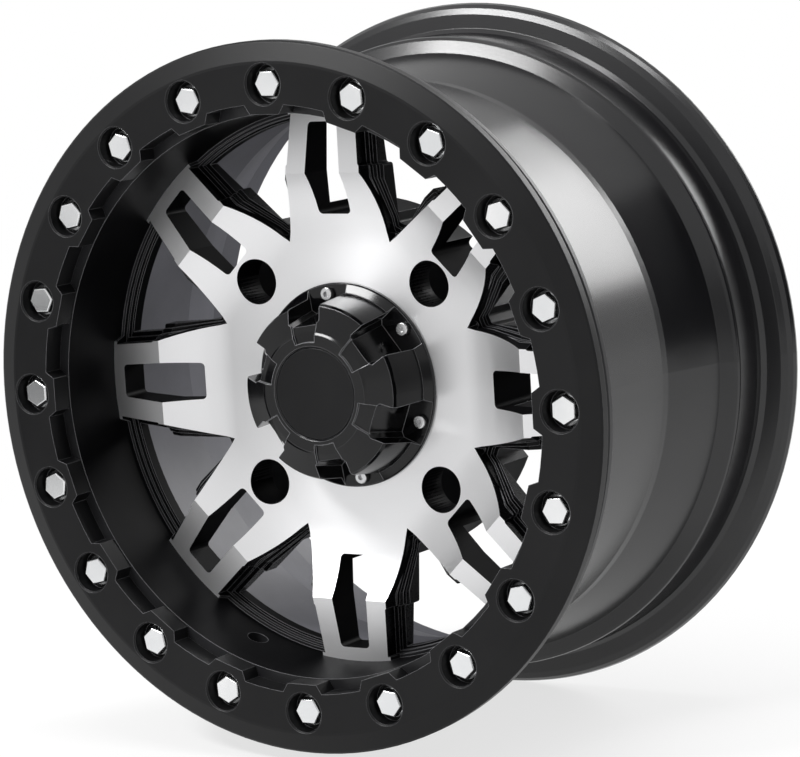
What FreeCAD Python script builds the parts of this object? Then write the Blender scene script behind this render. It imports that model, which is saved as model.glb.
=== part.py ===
"""Beadlock wheel for a utility terrain vehicle: cast rim, bolted bead ring and screwed centre cap.

Millimetres. The wheel spins about Y. The origin is the centre of the hub mounting face, +Y points
inboard (towards the vehicle) and the styled face looks along -Y. +Z is up.
"""
import FreeCAD, Part
import math
import os
from FreeCAD import Vector

# Hub and mounting
MOUNT_Y = 0.0              # hub mounting face
PAD_THICK = 35.9           # mounting face to machined hub face
HUB_BORE_R = 57.5          # register bore for the vehicle hub
HUB_BORE_DEPTH = 22.0
NOSE_BORE_R = 42.0         # through bore behind the centre cap
LUG_COUNT = 4
LUG_PCD = 156.0
LUG_HOLE_R = 6.5
LUG_POCKET_R = 12.5        # nut pocket in the machined face
LUG_SEAT_TOP = 20.0        # depth of the pocket wall before the conical seat
LUG_SEAT_HALF_ANGLE = 30.0
LUG_PHASE = 45.0
LUG_LAND = 2.0             # metal between a nut pocket and the spoke slot beside it
PAD_MARGIN = 20.0          # mounting pad beyond the stud circle
PAD_RADIUS = LUG_PCD / 2 + PAD_MARGIN

# Barrel
SEAT_R = 177.4             # bead seats
WALL = 6.5
HUMP_HEIGHT = 1.5
WELL_DEPTH = 18.4          # drop centre below the seats
WELL_END_Y = 27.6          # where the drop centre starts to flare
FLARE_RISE = 11.0
FLARE_END_Y = 68.6
FLANGE_HEIGHT = 17.9       # inboard flange above the seat
FLANGE_Y = 110.2
FLANGE_LIP = 4.4           # flange crown to the inboard end
DRUM_WALL = 8.5            # barrel wall behind the ring
ROOT_STEP = 0.5            # the bore narrows by this at the spokes
HUMP_R = SEAT_R + HUMP_HEIGHT
WELL_R = SEAT_R - WELL_DEPTH
FLARE_R = WELL_R + FLARE_RISE
FLANGE_R = SEAT_R + FLANGE_HEIGHT
RIM_END_Y = FLANGE_Y + FLANGE_LIP
DRUM_R = WELL_R - DRUM_WALL
ROOT_R = DRUM_R - ROOT_STEP
VALVE_HOLE_R = 5.75
VALVE_SPOT_R = 9.0         # spot face for the valve seal, on the tyre side
VALVE_SPOT_RISE = 1.5      # spot face above the drop centre
VALVE_SEAT_R = WELL_R + VALVE_SPOT_RISE
VALVE_ANGLE = 247.5
VALVE_Y = -54.4

# Spokes
SPOKE_COUNT = 8
HUB_DISC_R = 73.5          # machined hub disc between the spokes
SLOPE_START = 75.0         # along the spoke, where the dished arc of the face starts
DISH_R = 70.0              # radius of that arc
CREASE_AT = 115.3          # knuckle of the spoke
END_MARGIN = 1.2           # machined face stops this far from the barrel
SPOKE_END = ROOT_R - END_MARGIN
END_RISE = 8.5             # outer end above the hub face
NOTCH_HALF = 28.7          # half width at the notch tips
NOTCH_AT = 69.2
NECK_HALF = 26.3
NECK_AT = 82.0
WAIST_HALF = 25.0
WAIST_AT = 95.0
CREASE_HALF = 23.0
END_HALF = 20.0
SPOKE_DRAFT = 2.2          # side walls spread by this towards the ledge
LEDGE_DROP = 6.5           # ledge below the machined face
SPOKE_BACK_Y = -27.0       # rear of the spokes
SLOT_INNER_AT = LUG_PCD / 2 + LUG_POCKET_R + LUG_LAND
SLOT_INNER_HALF = 10.0
SLOT_CREASE_HALF = 11.0
SLOT_BAND = 6.3            # metal between the slot and the outer end of the machined face
SLOT_OUTER_AT = SPOKE_END - SLOT_BAND
SLOT_OUTER_HALF = 9.0
SLOT_CORNER_R = 2.5
WINDOW_INNER_R = 93.0      # inner corner of the window between spokes
WINDOW_RIM = 5.0           # ledge between the window and the barrel
WINDOW_OUTER_R = ROOT_R - WINDOW_RIM
WINDOW_EDGE = 8.2          # window wall beyond the machined spoke edge
WINDOW_CORNER_R = 1.5
JOG_BEYOND = 3.7           # the window steps wider this far beyond the knuckle
JOG_AT = CREASE_AT + JOG_BEYOND
WINDOW_JOG = 3.5           # the window widens by this there
STEP_WIDTH = 2.6           # terrace round the window
STEP_DEPTH = 2.6
STEP_COUNT = 2

# Bead ring
CLEARANCE = 0.3
RING_SEAT_Y = -85.5        # ring to rim contact
RING_THICK = 12.9
RING_FRONT_Y = RING_SEAT_Y - RING_THICK
CLAMP_STEP = 2.7
RING_CLAMP_Y = RING_SEAT_Y - CLAMP_STEP    # clamping face for the tyre bead
RING_LIP = 11.7            # ring beyond the bead seat
RING_R = SEAT_R + RING_LIP
RING_BEVEL_WIDTH = 12.1
RING_BEVEL_R = RING_R - RING_BEVEL_WIDTH
RING_BEVEL_DROP = 3.6
RING_CHAMFER = 1.2
OUTER_FLANGE_INSET = 3.1
OUTER_FLANGE_R = RING_R - OUTER_FLANGE_INSET    # rim flange facing the ring
OUTER_FLANGE_STEP = 2.6
OUTER_FLANGE_Y = RING_SEAT_Y + OUTER_FLANGE_STEP
OUTER_FLANGE_THICK = 5.0
BOLT_COUNT = 20
BOLT_INSET = 10.9          # bolt circle inside the bead seat
BOLT_CIRCLE_R = SEAT_R - BOLT_INSET
BOLT_PHASE = 0.0
TAB_REACH = 15.7           # tabs reach this far inside the bolt circle
RING_TAB_R = BOLT_CIRCLE_R - TAB_REACH
SCALLOP_DEPTH = 5.4
RING_SCALLOP_R = RING_TAB_R + SCALLOP_DEPTH
TAB_TIP = 18.0             # tab width at its tip and at its root
TAB_ROOT = 28.0
HEAD_AF = 13.8
HEAD_HEIGHT = 4.6
HEAD_FLANGE_R = 9.2
HEAD_FLANGE_THICK = 1.4
HEAD_SINK = 3.5            # bolt heads below the ring's front
HEAD_TOP_Y = RING_FRONT_Y + HEAD_SINK
POCKET_GAP = 1.4           # pocket wall round the bolt flange
POCKET_R = HEAD_FLANGE_R + POCKET_GAP
BOLT_R = 4.0
BOLT_GRIP = 22.0           # shank length below the head

# Centre cap
CAP_FLANGE_R = 55.5
CAP_FLANGE_THICK = 2.4
CAP_HEIGHT = 33.2          # hub face to the cap's front
CAP_BASE_R = 50.5
CAP_CROWN_R = 46.4
CAP_CROWN_DROP = 5.0
CAP_RIM_R = 33.0
CAP_CAVITY_R = 33.0
CAP_ROOF = 4.0
DISC_R = 24.6
DISC_THICK = 1.6
DISC_RECESS = 0.8
DISC_GAP = 0.2
SCREW_COUNT = 6
SCREW_PHASE = 38.6
SCREW_CIRCLE_R = 50.0
SCREW_HEAD_R = 3.6
SCREW_HEAD_H = 2.8
SCREW_SOCKET_AF = 3.0
SCREW_SOCKET_DEPTH = 1.6
SCREW_R = 2.0
SCREW_LENGTH = 13.0
SCOOP_HALF = 9.5
SCOOP_FLOOR_R = 37.5
SCOOP_SPREAD = 3.0         # the scoop widens by this towards the flange
STEP_HALF = 10.5           # half width of the lowered part of the crown above each scoop
STEP_DROP = 1.3

FACE_Y = MOUNT_Y - PAD_THICK
CREASE_Y = FACE_Y - DISH_R + math.sqrt(DISH_R ** 2 - (CREASE_AT - SLOPE_START) ** 2)
END_Y = FACE_Y - END_RISE
AXIS = Vector(0, 1, 0)
ORIGIN = Vector(0, 0, 0)


def turned(shape, degrees):
    """The shape turned about the wheel axis, counted anticlockwise as seen from the styled face."""
    copy = shape.copy()
    copy.rotate(ORIGIN, AXIS, -degrees)
    return copy


def around(shape, count, phase=0.0):
    """Copies of a shape evenly spaced about the wheel axis."""
    return [turned(shape, phase + 360.0 * k / count) for k in range(count)]


def merged(shapes):
    """One solid from several that touch or overlap."""
    return shapes[0].multiFuse(shapes[1:]).removeSplitter()


def revolved(profile):
    """A ring of revolution from a closed list of (radius, y) corners."""
    points = [Vector(r, y, 0) for r, y in profile]
    wire = Part.makePolygon(points + points[:1])
    return Part.Face(wire).revolve(ORIGIN, AXIS, 360.0)


def plan_wire(points, y):
    """A closed wire in the plan of a spoke that points along +X: (along, across) corners at one height."""
    corners = [Vector(a, y, c) for a, c in points]
    return Part.makePolygon(corners + corners[:1])


def plan_prism(points, low, high, corner=0.0):
    """A straight prism over a plan outline from one height to another, with rounded upright corners."""
    solid = Part.Face(plan_wire(points, low)).extrude(Vector(0, high - low, 0))
    if corner > 0.0:
        upright = [e for e in solid.Edges if abs(e.tangentAt(e.FirstParameter).y) > 0.99]
        solid = solid.makeFillet(corner, upright)
    return solid


def drafted_prism(front, foot, front_y, foot_y):
    """A block with flat sloping walls between two plan outlines of the same corners at two heights."""
    upper = [Vector(a, front_y, c) for a, c in front]
    lower = [Vector(a, foot_y, c) for a, c in foot]
    faces = [Part.Face(plan_wire(front, front_y)), Part.Face(plan_wire(foot, foot_y))]
    count = len(upper)
    for k in range(count):
        after = (k + 1) % count
        wall = [upper[k], upper[after], lower[after], lower[k], upper[k]]
        faces.append(Part.Face(Part.makePolygon(wall)))
    return Part.Solid(Part.Shell(faces))


def axial(radius, low, high, at_radius=0.0):
    """A cylinder parallel to the wheel axis between two heights."""
    return Part.makeCylinder(radius, high - low, Vector(at_radius, low, 0), AXIS)


def spoke_outline(spread=0.0):
    """Plan corners of one spoke from inside the hub disc into the barrel wall, widened by spread."""
    root_at = 0.7 * NOTCH_AT
    taper = (END_HALF - CREASE_HALF) / (SPOKE_END - CREASE_AT)
    reach = ROOT_R + WALL / 2
    half = [
        (root_at, root_at * NOTCH_HALF / NOTCH_AT),
        (NOTCH_AT, NOTCH_HALF),
        (NECK_AT, NECK_HALF),
        (WAIST_AT, WAIST_HALF),
        (CREASE_AT, CREASE_HALF),
        (reach, END_HALF + taper * (reach - SPOKE_END)),
    ]
    upper = [(a, h + spread) for a, h in half]
    lower = [(a, -h - spread) for a, h in reversed(half)]
    return upper + lower


def spoke_side_block():
    """The spoke's side view swept across its width: flat, dished arc, knuckle and outer run."""
    reach = ROOT_R + WALL / 2
    slope = (END_Y - CREASE_Y) / (SPOKE_END - CREASE_AT)
    half = NOTCH_HALF + SPOKE_DRAFT + WINDOW_EDGE
    middle = (SLOPE_START + CREASE_AT) / 2
    middle_y = FACE_Y - DISH_R + math.sqrt(DISH_R ** 2 - (middle - SLOPE_START) ** 2)
    flat_end = Vector(SLOPE_START, FACE_Y, -half)
    knuckle = Vector(CREASE_AT, CREASE_Y, -half)
    arc = Part.Arc(flat_end, Vector(middle, middle_y, -half), knuckle).toShape()
    outer = [
        knuckle,
        Vector(reach, CREASE_Y + slope * (reach - CREASE_AT), -half),
        Vector(reach, SPOKE_BACK_Y, -half),
        Vector(0, SPOKE_BACK_Y, -half),
        Vector(0, FACE_Y, -half),
        flat_end,
    ]
    wire = Part.Wire(Part.makePolygon(outer).Edges + [arc])
    return Part.Face(wire).extrude(Vector(0, 0, 2 * half))


def spoke():
    """One spoke with a straight knuckle across it and drafted side walls, before its slot is cut."""
    top = CREASE_Y - 1.0
    foot = SPOKE_BACK_Y
    depth = foot - top
    spread = SPOKE_DRAFT * depth / LEDGE_DROP
    walls = drafted_prism(spoke_outline(), spoke_outline(spread), top, foot)
    return spoke_side_block().common(walls)


def slot_cutter():
    """The window through the middle of a spoke."""
    half = [
        (SLOT_INNER_AT, SLOT_INNER_HALF),
        (CREASE_AT, SLOT_CREASE_HALF),
        (SLOT_OUTER_AT, SLOT_OUTER_HALF),
    ]
    outline = half + [(a, -h) for a, h in reversed(half)]
    return plan_prism(outline, CREASE_Y - 5.0, MOUNT_Y + 5.0, SLOT_CORNER_R)


def window_outline(margin=0.0):
    """Plan corners of the opening between two spokes, on its own centre line, widened by margin."""
    half_gap = math.radians(180.0 / SPOKE_COUNT)
    edge = [
        (JOG_AT, CREASE_HALF + WINDOW_EDGE - margin),
        (JOG_AT, CREASE_HALF + WINDOW_EDGE - WINDOW_JOG - margin),
        (SPOKE_END + 6.0, END_HALF + WINDOW_EDGE - WINDOW_JOG - margin),
    ]
    side = []
    for a, h in edge:
        x = a * math.cos(half_gap) + h * math.sin(half_gap)
        z = a * math.sin(half_gap) - h * math.cos(half_gap)
        side.append((x, z))
    half = [(WINDOW_INNER_R - margin, 2.5)] + side
    return half + [(a, -c) for a, c in reversed(half)]


def web_front(drop):
    """Corners (radius, y) of the surface that lies below the machined face by drop."""
    middle = (SLOPE_START + CREASE_AT) / 2
    middle_y = FACE_Y - DISH_R + math.sqrt(DISH_R ** 2 - (middle - SLOPE_START) ** 2)
    back_r = ROOT_R + WALL / 2
    return [
        (NOSE_BORE_R, FACE_Y + drop),
        (SLOPE_START, FACE_Y + drop),
        (middle, middle_y + drop),
        (CREASE_AT, CREASE_Y + drop),
        (back_r, END_Y + drop),
    ]


def window_cutters():
    """The opening between two spokes right through the web, and the terraces that step down to it."""
    front = CREASE_Y - 5.0
    through = plan_prism(window_outline(), front, MOUNT_Y + 5.0, WINDOW_CORNER_R)
    cutters = [through.common(axial(WINDOW_OUTER_R, front, MOUNT_Y + 5.0))]
    for k in range(1, STEP_COUNT + 1):
        margin = k * STEP_WIDTH
        drop = LEDGE_DROP + (STEP_COUNT + 1 - k) * STEP_DEPTH
        surface = web_front(drop)
        space = revolved([(surface[0][0], front)] + surface + [(surface[-1][0], front)])
        tread = plan_prism(window_outline(margin), front, MOUNT_Y, WINDOW_CORNER_R)
        tread = tread.common(axial(WINDOW_OUTER_R + 0.6 * margin, front, MOUNT_Y))
        cutters.append(tread.common(space))
    return cutters


def web():
    """The recessed web that joins the spokes, set below their machined faces, with the hub pad behind."""
    back_r = ROOT_R + WALL / 2
    back = [
        (back_r, SPOKE_BACK_Y),
        (PAD_RADIUS, SPOKE_BACK_Y),
        (PAD_RADIUS, MOUNT_Y),
        (NOSE_BORE_R, MOUNT_Y),
    ]
    return revolved(web_front(LEDGE_DROP) + back)


def barrel():
    """The rolled outer shell: outboard ring seat and flange, drop centre, hump, inboard seat and flange."""
    thread_end = RING_SEAT_Y + BOLT_GRIP + 1.0
    outer = [
        (DRUM_R, RING_SEAT_Y),
        (SEAT_R - 1.0, RING_SEAT_Y),
        (SEAT_R, RING_SEAT_Y + 1.0),
        (SEAT_R, OUTER_FLANGE_Y - 0.6),
        (SEAT_R + 0.6, OUTER_FLANGE_Y),
        (OUTER_FLANGE_R - 1.0, OUTER_FLANGE_Y),
        (OUTER_FLANGE_R, OUTER_FLANGE_Y + 1.0),
        (OUTER_FLANGE_R, OUTER_FLANGE_Y + OUTER_FLANGE_THICK - 1.0),
        (OUTER_FLANGE_R - 1.0, OUTER_FLANGE_Y + OUTER_FLANGE_THICK),
        (SEAT_R + 1.5, OUTER_FLANGE_Y + OUTER_FLANGE_THICK + 1.0),
        (SEAT_R - 0.5, OUTER_FLANGE_Y + OUTER_FLANGE_THICK + 3.0),
        (SEAT_R - 1.0, thread_end),
        (WELL_R + 2.0, thread_end + 14.0),
        (WELL_R, thread_end + 20.0),
        (WELL_R, WELL_END_Y - 3.0),
        (WELL_R + 0.5, WELL_END_Y + 2.0),
        (FLARE_R, FLARE_END_Y),
        (HUMP_R - 2.0, FLARE_END_Y + 3.4),
        (HUMP_R - 0.5, FLARE_END_Y + 4.4),
        (HUMP_R, FLARE_END_Y + 6.0),
        (HUMP_R - 0.4, FLARE_END_Y + 7.6),
        (SEAT_R, FLARE_END_Y + 10.0),
        (SEAT_R + 1.0, FLANGE_Y - 14.0),
        (SEAT_R + 1.8, FLANGE_Y - 11.0),
        (SEAT_R + 4.0, FLANGE_Y - 8.6),
        (FLANGE_R - 6.0, FLANGE_Y - 7.0),
        (FLANGE_R - 2.6, FLANGE_Y - 5.4),
        (FLANGE_R - 0.7, FLANGE_Y - 2.8),
        (FLANGE_R, FLANGE_Y),
        (FLANGE_R - 0.6, FLANGE_Y + 2.2),
        (FLANGE_R - 2.2, RIM_END_Y - 0.5),
        (FLANGE_R - 4.0, RIM_END_Y),
    ]
    inner = [
        (FLANGE_R - 6.0, RIM_END_Y - 1.2),
        (SEAT_R + 1.0, FLANGE_Y - 1.0),
        (SEAT_R - WALL + 1.0, FLANGE_Y - 8.0),
        (SEAT_R - WALL, FLARE_END_Y + 8.0),
        (FLARE_R - WALL, FLARE_END_Y + 2.0),
        (WELL_R - WALL, WELL_END_Y + 2.0),
        (ROOT_R + 1.0, SPOKE_BACK_Y + 6.0),
        (ROOT_R, SPOKE_BACK_Y + 2.0),
        (ROOT_R, END_Y),
        (DRUM_R, RING_SEAT_Y + 8.0),
    ]
    return revolved(outer + inner)


def lug_cutter():
    """Stud hole, conical nut seat and nut pocket, on the +X side."""
    at = LUG_PCD / 2
    seat_bottom = FACE_Y + LUG_SEAT_TOP
    cone_depth = (LUG_POCKET_R - LUG_HOLE_R) / math.tan(math.radians(LUG_SEAT_HALF_ANGLE))
    pocket = axial(LUG_POCKET_R, FACE_Y - 20.0, seat_bottom, at)
    base = Vector(at, seat_bottom, 0)
    cone = Part.makeCone(LUG_POCKET_R, LUG_HOLE_R, cone_depth, base, AXIS)
    stud = axial(LUG_HOLE_R, seat_bottom, MOUNT_Y + 1.0, at)
    return merged([pocket, cone, stud])


def valve_hole():
    """The drilled hole for the tyre valve through the barrel wall, with its spot face outside."""
    outward = Vector(1, 0, 0)
    start = DRUM_R - VALVE_SPOT_R
    hole = Part.makeCylinder(VALVE_HOLE_R, SEAT_R - start, Vector(start, VALVE_Y, 0), outward)
    spot = Part.makeCylinder(VALVE_SPOT_R, SEAT_R - VALVE_SEAT_R, Vector(VALVE_SEAT_R, VALVE_Y, 0), outward)
    return turned(merged([hole, spot]), VALVE_ANGLE)


def wheel_casting():
    """The one-piece casting: barrel, web, spokes and hub pad in one piece."""
    hub = axial(HUB_DISC_R, FACE_Y, MOUNT_Y)
    pieces = [barrel(), web(), hub] + around(spoke(), SPOKE_COUNT)
    body = merged(pieces)
    cuts = around(slot_cutter(), SPOKE_COUNT)
    for cutter in window_cutters():
        cuts += around(cutter, SPOKE_COUNT, 180.0 / SPOKE_COUNT)
    cuts += around(lug_cutter(), LUG_COUNT, LUG_PHASE)
    cuts.append(axial(NOSE_BORE_R, FACE_Y - 20.0, MOUNT_Y + 5.0))
    cuts.append(axial(HUB_BORE_R, MOUNT_Y - HUB_BORE_DEPTH, MOUNT_Y + 5.0))
    cuts.append(valve_hole())
    thread_tip = HEAD_TOP_Y + HEAD_HEIGHT + HEAD_FLANGE_THICK + BOLT_GRIP
    thread = axial(BOLT_R, RING_SEAT_Y - 1.0, thread_tip, BOLT_CIRCLE_R)
    cuts += around(thread, BOLT_COUNT, BOLT_PHASE)
    screw_hole = axial(SCREW_R, FACE_Y - 1.0, screw_tip_y(), SCREW_CIRCLE_R)
    cuts += around(screw_hole, SCREW_COUNT, SCREW_PHASE)
    return body.cut(cuts)


def screw_tip_y():
    """Height of the tips of the cap screws, inside the rim."""
    return FACE_Y - CAP_FLANGE_THICK + SCREW_LENGTH


def ring_inner_cutter():
    """The ring's bore with one tab at each bolt and a scallop between tabs."""
    low = RING_FRONT_Y - 5.0
    high = RING_SEAT_Y + 5.0
    tip = [(RING_TAB_R, TAB_TIP / 2), (RING_TAB_R, -TAB_TIP / 2)]
    root = [(RING_SCALLOP_R + 2.0, -TAB_ROOT / 2), (RING_SCALLOP_R + 2.0, TAB_ROOT / 2)]
    tab = plan_prism(tip + root, low - 1.0, high + 1.0)
    return axial(RING_SCALLOP_R, low, high).cut(around(tab, BOLT_COUNT, BOLT_PHASE))


def bead_ring():
    """The clamping ring: bevelled front, scalloped bore and a counterbored pocket for each bolt."""
    profile = [
        (RING_TAB_R - 4.0, RING_FRONT_Y),
        (RING_BEVEL_R, RING_FRONT_Y),
        (RING_BEVEL_R + 1.5, RING_FRONT_Y + 0.25),
        (RING_R - 1.0, RING_FRONT_Y + RING_BEVEL_DROP),
        (RING_R, RING_FRONT_Y + RING_BEVEL_DROP + 0.8),
        (RING_R, RING_CLAMP_Y - RING_CHAMFER),
        (RING_R - RING_CHAMFER, RING_CLAMP_Y),
        (SEAT_R + CLEARANCE, RING_CLAMP_Y),
        (SEAT_R - 2.0, RING_SEAT_Y),
        (RING_TAB_R - 4.0, RING_SEAT_Y),
    ]
    body = revolved(profile).cut(ring_inner_cutter())
    head_seat = HEAD_TOP_Y + HEAD_HEIGHT + HEAD_FLANGE_THICK
    pocket = axial(POCKET_R, RING_FRONT_Y - 1.0, head_seat, BOLT_CIRCLE_R)
    lead_in = Part.makeCone(POCKET_R + 0.8, POCKET_R, 0.8, Vector(BOLT_CIRCLE_R, RING_FRONT_Y, 0), AXIS)
    hole = axial(BOLT_R + CLEARANCE, head_seat - 1.0, RING_SEAT_Y + 1.0, BOLT_CIRCLE_R)
    cutter = merged([pocket, lead_in, hole])
    return body.cut(around(cutter, BOLT_COUNT, BOLT_PHASE))


def hexagon(af, low, high, at_radius):
    """A hexagonal prism parallel to the wheel axis."""
    radius = af / math.sqrt(3.0)
    angles = [math.radians(60.0 * k + 30.0) for k in range(6)]
    points = [(at_radius + radius * math.cos(t), radius * math.sin(t)) for t in angles]
    return plan_prism(points, low, high)


def ring_bolt():
    """A hexagon flange bolt with a chamfered head, on the +X side."""
    at = BOLT_CIRCLE_R
    flange_y = HEAD_TOP_Y + HEAD_HEIGHT
    seat_y = flange_y + HEAD_FLANGE_THICK
    corner_r = HEAD_AF / math.sqrt(3.0)
    top_r = 0.47 * HEAD_AF
    head = hexagon(HEAD_AF, HEAD_TOP_Y, flange_y, at)
    chamfer_h = (corner_r - top_r) * math.tan(math.radians(30.0))
    crown = Part.makeCone(top_r, corner_r, chamfer_h, Vector(at, HEAD_TOP_Y, 0), AXIS)
    head = head.common(merged([crown, axial(corner_r, HEAD_TOP_Y + chamfer_h, flange_y, at)]))
    half_flange = HEAD_FLANGE_THICK / 2
    skirt = Part.makeCone(HEAD_FLANGE_R - 1.0, HEAD_FLANGE_R, half_flange, Vector(at, flange_y, 0), AXIS)
    flange = axial(HEAD_FLANGE_R, flange_y + half_flange, seat_y, at)
    shank = axial(BOLT_R, seat_y, seat_y + BOLT_GRIP, at)
    return merged([head, skirt, flange, shank])


def cap_screw():
    """A socket head screw for the centre cap, on the +X side."""
    at = SCREW_CIRCLE_R
    seat_y = FACE_Y - CAP_FLANGE_THICK
    top_y = seat_y - SCREW_HEAD_H
    head = axial(SCREW_HEAD_R, top_y + 0.5, seat_y, at)
    rounded = Part.makeCone(SCREW_HEAD_R - 0.5, SCREW_HEAD_R, 0.5, Vector(at, top_y, 0), AXIS)
    shank = axial(SCREW_R, seat_y, screw_tip_y(), at)
    socket = hexagon(SCREW_SOCKET_AF, top_y - 1.0, top_y + SCREW_SOCKET_DEPTH, at)
    return merged([head, rounded, shank]).cut(socket)


def scoop_cutter():
    """The channel that opens the cap's side above one screw, on the +X side."""
    low = FACE_Y - CAP_HEIGHT - 1.0
    high = FACE_Y - CAP_FLANGE_THICK
    reach = CAP_FLANGE_R + 10.0
    front = [(SCOOP_FLOOR_R - 2.0, SCOOP_HALF - 2.5), (SCOOP_FLOOR_R, SCOOP_HALF), (reach, SCOOP_HALF)]
    foot = [
        (SCOOP_FLOOR_R + 3.0, SCOOP_HALF + SCOOP_SPREAD - 2.5),
        (SCOOP_FLOOR_R + 5.0, SCOOP_HALF + SCOOP_SPREAD),
        (reach, SCOOP_HALF + SCOOP_SPREAD),
    ]
    outlines = [half + [(a, -c) for a, c in reversed(half)] for half in (front, foot)]
    return drafted_prism(outlines[0], outlines[1], low, high)


def crown_step():
    """The lowered part of the cap's crown above one scoop, on the +X side, following the crown's slope."""
    front = FACE_Y - CAP_HEIGHT
    profile = [
        (DISC_R + 3.0, front - 1.0),
        (CAP_CROWN_R + 5.0, front - 1.0),
        (CAP_CROWN_R + 5.0, front + CAP_CROWN_DROP + STEP_DROP + 2.0),
        (CAP_CROWN_R - 2.0, front + CAP_CROWN_DROP + STEP_DROP),
        (CAP_RIM_R, front + STEP_DROP + 0.8),
        (DISC_R + 3.0, front + STEP_DROP),
    ]
    reach = CAP_CROWN_R + 8.0
    narrow = STEP_HALF * DISC_R / CAP_CROWN_R
    half = [(DISC_R, narrow), (reach, STEP_HALF * reach / CAP_CROWN_R)]
    outline = half + [(a, -c) for a, c in reversed(half)]
    sector = plan_prism(outline, front - 2.0, front + CAP_CROWN_DROP + 8.0)
    return revolved(profile).common(sector)


def centre_cap():
    """The moulded cap: round flange, six lobes between the screw scoops and a recess for the disc."""
    front = FACE_Y - CAP_HEIGHT
    flange_y = FACE_Y - CAP_FLANGE_THICK
    profile = [
        (NOSE_BORE_R - 3.0, FACE_Y),
        (CAP_FLANGE_R, FACE_Y),
        (CAP_FLANGE_R, flange_y + 0.6),
        (CAP_FLANGE_R - 0.6, flange_y),
        (CAP_BASE_R, flange_y - 2.5),
        (CAP_CROWN_R + 1.0, front + CAP_CROWN_DROP + 2.0),
        (CAP_CROWN_R, front + CAP_CROWN_DROP),
        (CAP_RIM_R, front + 0.8),
        (CAP_RIM_R - 1.5, front),
        (DISC_R + DISC_GAP + 0.8, front),
        (DISC_R + DISC_GAP, front + 0.8),
        (DISC_R + DISC_GAP, front + DISC_RECESS + DISC_THICK),
        (0.0, front + DISC_RECESS + DISC_THICK),
        (0.0, front + DISC_RECESS + DISC_THICK + CAP_ROOF),
        (CAP_CAVITY_R - 4.0, front + DISC_RECESS + DISC_THICK + CAP_ROOF),
        (CAP_CAVITY_R, front + DISC_RECESS + DISC_THICK + CAP_ROOF + 4.0),
    ]
    body = revolved(profile)
    cuts = around(scoop_cutter(), SCREW_COUNT, SCREW_PHASE)
    cuts += around(crown_step(), SCREW_COUNT, SCREW_PHASE)
    hole = axial(SCREW_R + CLEARANCE, flange_y - 2.0, FACE_Y + 1.0, SCREW_CIRCLE_R)
    cuts += around(hole, SCREW_COUNT, SCREW_PHASE)
    return body.cut(cuts)


def cap_disc():
    """The plain round insert in the cap's front."""
    front = FACE_Y - CAP_HEIGHT + DISC_RECESS
    return revolved([(0.0, front), (DISC_R - 0.4, front), (DISC_R, front + 0.4), (DISC_R, front + DISC_THICK),
                     (0.0, front + DISC_THICK)])


def export(name, shapes):
    """Writes one named piece, as one solid or a group of separate solids."""
    shape = shapes[0] if len(shapes) == 1 else Part.makeCompound(shapes)
    shape.exportStep(f"parts/{name}.step")
    print(name, "solids", len(shape.Solids), "valid", shape.isValid(), "volume %.0f" % shape.Volume)


def main():
    """Builds every piece and writes it to its own file."""
    os.makedirs("parts", exist_ok=True)
    export("wheel_casting", [wheel_casting()])
    export("beadlock_ring", [bead_ring()])
    export("ring_bolts", around(ring_bolt(), BOLT_COUNT, BOLT_PHASE))
    export("centre_cap", [centre_cap()])
    export("cap_disc", [cap_disc()])
    export("cap_screws", around(cap_screw(), SCREW_COUNT, SCREW_PHASE))


main()
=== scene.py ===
"""Looks of a cast beadlock wheel for a utility terrain vehicle: paint, turned metal, bolts and studio."""
import logging
import math
from abc import ABC, abstractmethod
from dataclasses import dataclass, field
from enum import Enum

import bmesh
import bpy
from mathutils import Matrix, Vector


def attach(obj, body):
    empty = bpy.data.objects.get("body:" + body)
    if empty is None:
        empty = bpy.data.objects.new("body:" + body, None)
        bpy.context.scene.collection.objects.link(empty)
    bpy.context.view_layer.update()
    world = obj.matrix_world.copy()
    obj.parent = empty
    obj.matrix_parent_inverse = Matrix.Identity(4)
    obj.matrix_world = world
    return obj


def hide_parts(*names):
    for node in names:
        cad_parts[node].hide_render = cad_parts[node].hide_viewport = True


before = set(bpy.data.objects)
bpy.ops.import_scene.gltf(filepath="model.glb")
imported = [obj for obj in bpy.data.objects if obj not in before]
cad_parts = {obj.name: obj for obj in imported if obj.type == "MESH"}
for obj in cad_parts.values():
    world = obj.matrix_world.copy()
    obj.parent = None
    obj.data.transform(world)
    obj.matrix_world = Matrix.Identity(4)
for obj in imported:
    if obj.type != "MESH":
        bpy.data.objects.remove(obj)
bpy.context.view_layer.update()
LOG = logging.getLogger("wheel")
MM = 0.001
# Colour of the highlight painted into the base colour along rounded edges.
PAINTED_EDGE_HIGHLIGHT = (0.42, 0.42, 0.44)
Colour = tuple[float, float, float]
Place = tuple[float, float, float]
Size = tuple[float, float]
Value = bpy.types.NodeSocket | float


class Surface(Enum):
    """Regions of the casting that carry their own finish, in the order of its material slots."""

    PAINT = 0
    TURNED = 1
    BARREL = 2
    WELL = 3
    DRUM = 4
    INSIDE = 5
    SLOT = 6


class Sink(Enum):
    """Which group output drives a shader input."""

    ROUGHNESS = "Roughness"
    HEIGHT = "Height"
    TINT = "Tint"
    MASK = "Mask"
    NORMAL = "Normal"


def add_node(tree: bpy.types.NodeTree, kind: str, **settings: object) -> bpy.types.Node:
    """Adds a shader node and sets its named properties.

    Args:
        tree: the node tree to add to.
        kind: the node's type name.
        settings: properties of the node by name.

    Returns:
        The new node.
    """
    node = tree.nodes.new(kind)
    for name, value in settings.items():
        setattr(node, name, value)
    return node


def set_inputs(node: bpy.types.Node, values: dict[str, float | tuple[float, ...]]) -> None:
    """Sets constants on a node's inputs, by the inputs' names."""
    for label, value in values.items():
        node.inputs[label].default_value = value


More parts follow.
